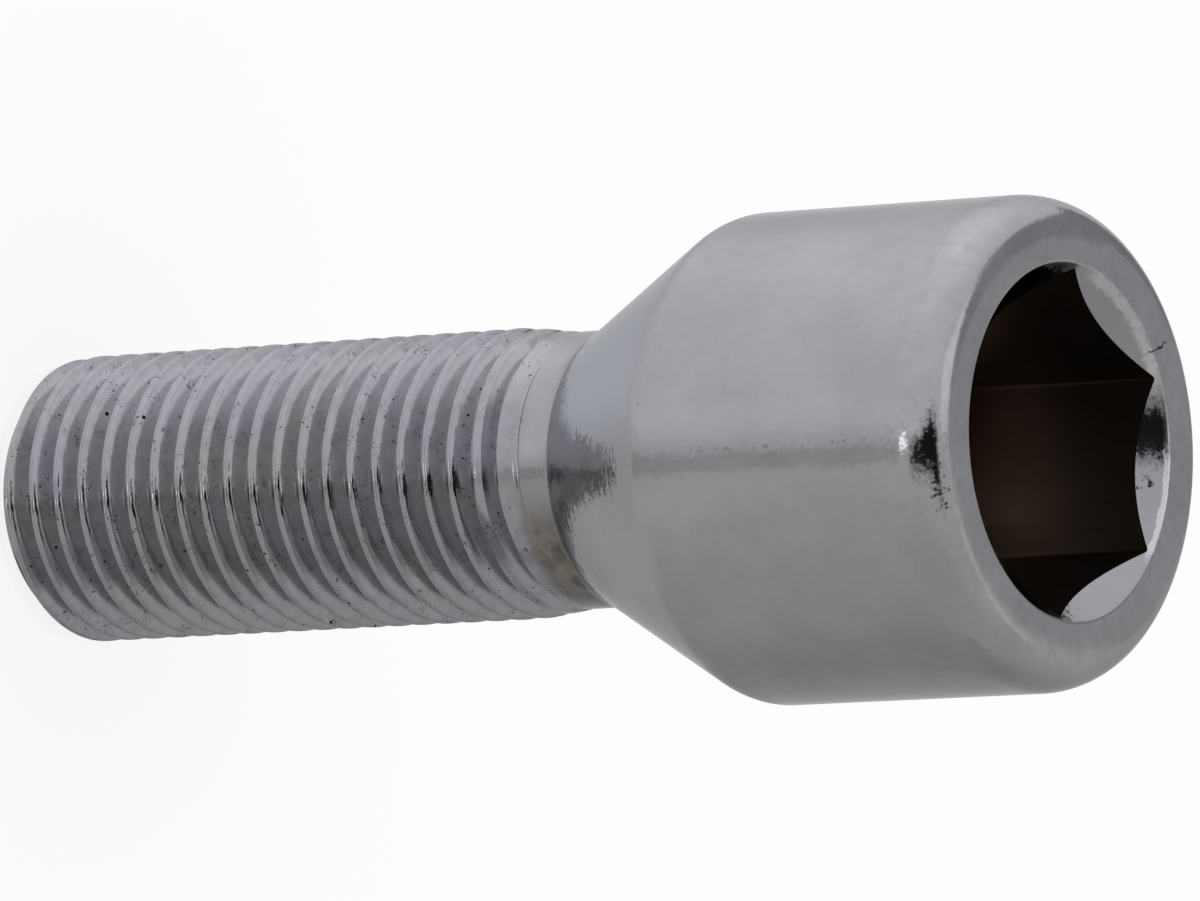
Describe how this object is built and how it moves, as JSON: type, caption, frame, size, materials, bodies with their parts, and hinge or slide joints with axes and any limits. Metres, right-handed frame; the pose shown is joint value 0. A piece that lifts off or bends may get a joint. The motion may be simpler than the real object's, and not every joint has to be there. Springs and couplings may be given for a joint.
{
  "type": "wheel bolt",
  "caption": "Plated steel wheel bolt with a cylindrical head, hexagon socket drive, conical seat and fine right-hand thread.",
  "frame": {"origin": "centre of the flat end of the thread's tip, which the bolt stands on", "axes": "+Z along the bolt's axis, from the thread's tip to the head's open end; two of the socket's flats are square to X"},
  "size_m": [0.0197, 0.0196, 0.0493],
  "materials": {
    "plating": "satin"
  },
  "bodies": {
    "root": {"bolt": "plating"}
  },
  "joints": []
}
